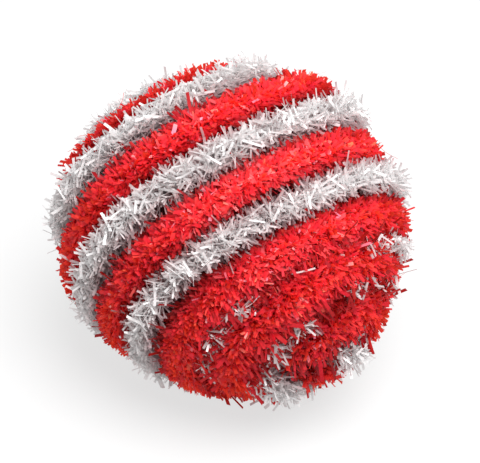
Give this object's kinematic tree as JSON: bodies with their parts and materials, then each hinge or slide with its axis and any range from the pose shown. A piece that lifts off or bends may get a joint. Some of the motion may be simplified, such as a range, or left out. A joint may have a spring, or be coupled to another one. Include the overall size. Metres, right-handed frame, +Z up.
{
  "type": "tinsel ball",
  "caption": "Soft ball wound from one silver and one red strand of tinsel chenille, side by side, on a foam core.",
  "frame": {"origin": "middle of the pressed patch that the ball lies on", "axes": "+Z up; the winding's front pole points 33 degrees from -Y towards +X and 22 degrees below the horizontal"},
  "size_m": [0.0488, 0.0487, 0.0473],
  "materials": {
    "red_film": "glossy metallised film strips",
    "silver_film": "mirror-bright metallised film strips",
    "foam": "beaded foam, dyed dark red",
    "glue": "clear amber hot-melt glue",
    "wire": "thin drawn steel wire"
  },
  "bodies": {
    "root": {"core_ball": "foam", "front_glue_pad": "glue", "back_glue_pad": "glue", "red_wire_outer": "wire", "red_wire_inner": "wire", "silver_wire_outer": "wire", "silver_wire_inner": "wire", "red_pile_turn_1": "red_film", "red_pile_turn_2": "red_film", "red_pile_turn_3": "red_film", "red_pile_turn_4": "red_film", "red_pile_turn_5": "red_film", "red_pile_turn_6": "red_film", "red_pile_turn_7": "red_film", "silver_pile_turn_1": "silver_film", "silver_pile_turn_2": "silver_film", "silver_pile_turn_3": "silver_film", "silver_pile_turn_4": "silver_film", "silver_pile_turn_5": "silver_film", "silver_pile_turn_6": "silver_film", "silver_pile_turn_7": "silver_film"}
  },
  "joints": []
}
